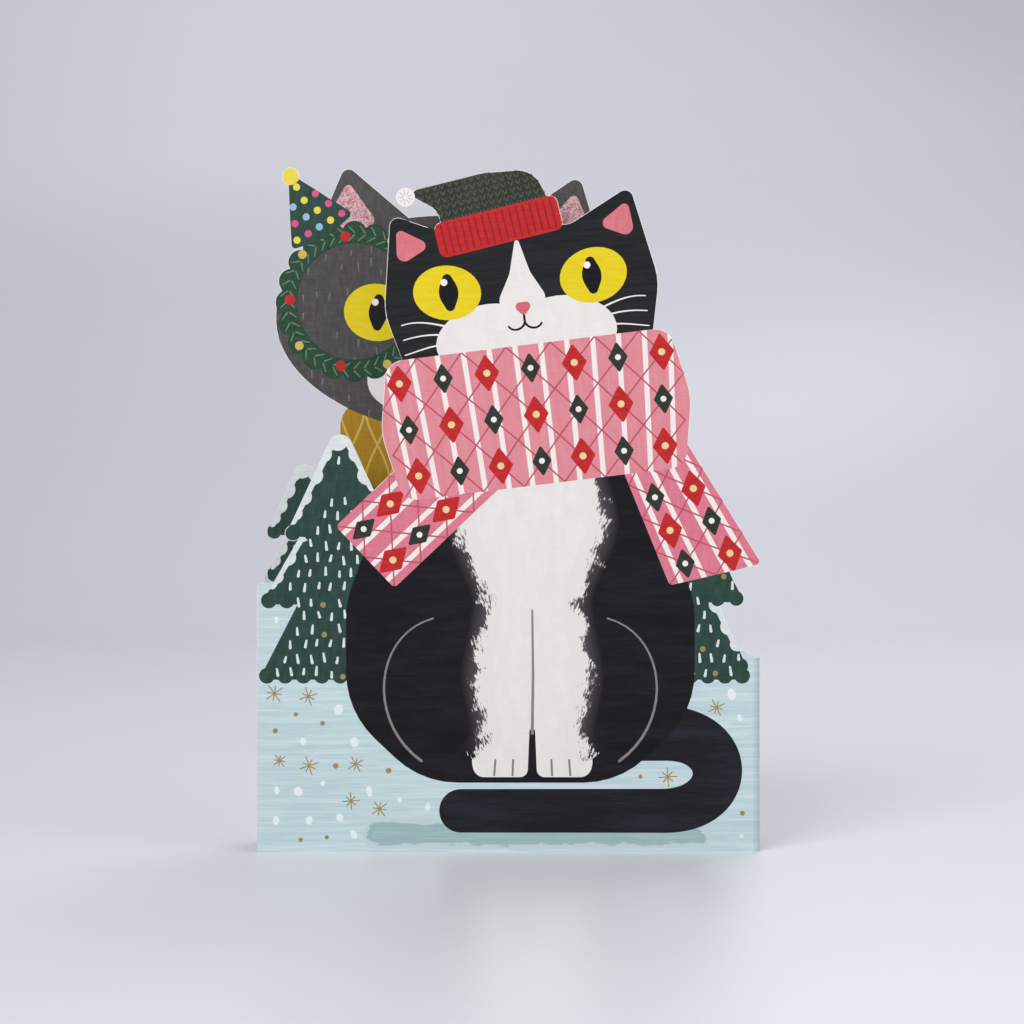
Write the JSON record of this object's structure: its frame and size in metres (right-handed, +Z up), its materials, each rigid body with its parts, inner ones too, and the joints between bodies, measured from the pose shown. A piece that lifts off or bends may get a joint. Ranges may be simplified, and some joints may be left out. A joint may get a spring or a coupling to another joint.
{
  "type": "greeting card",
  "caption": "Free-standing die-cut greeting card folded like a Z, with a scarfed cat in front, a second cat behind it, fir trees and snowy ground.",
  "frame": {"origin": "on the ground, at the middle of the folded card's footprint", "axes": "+Z up, +X to the right as seen from the front, -Y is the way the front panel faces"},
  "size_m": [0.127, 0.02, 0.175],
  "materials": {
    "card": "smooth coated white board, printed"
  },
  "bodies": {
    "root": {"folded_card": "card"}
  },
  "joints": []
}
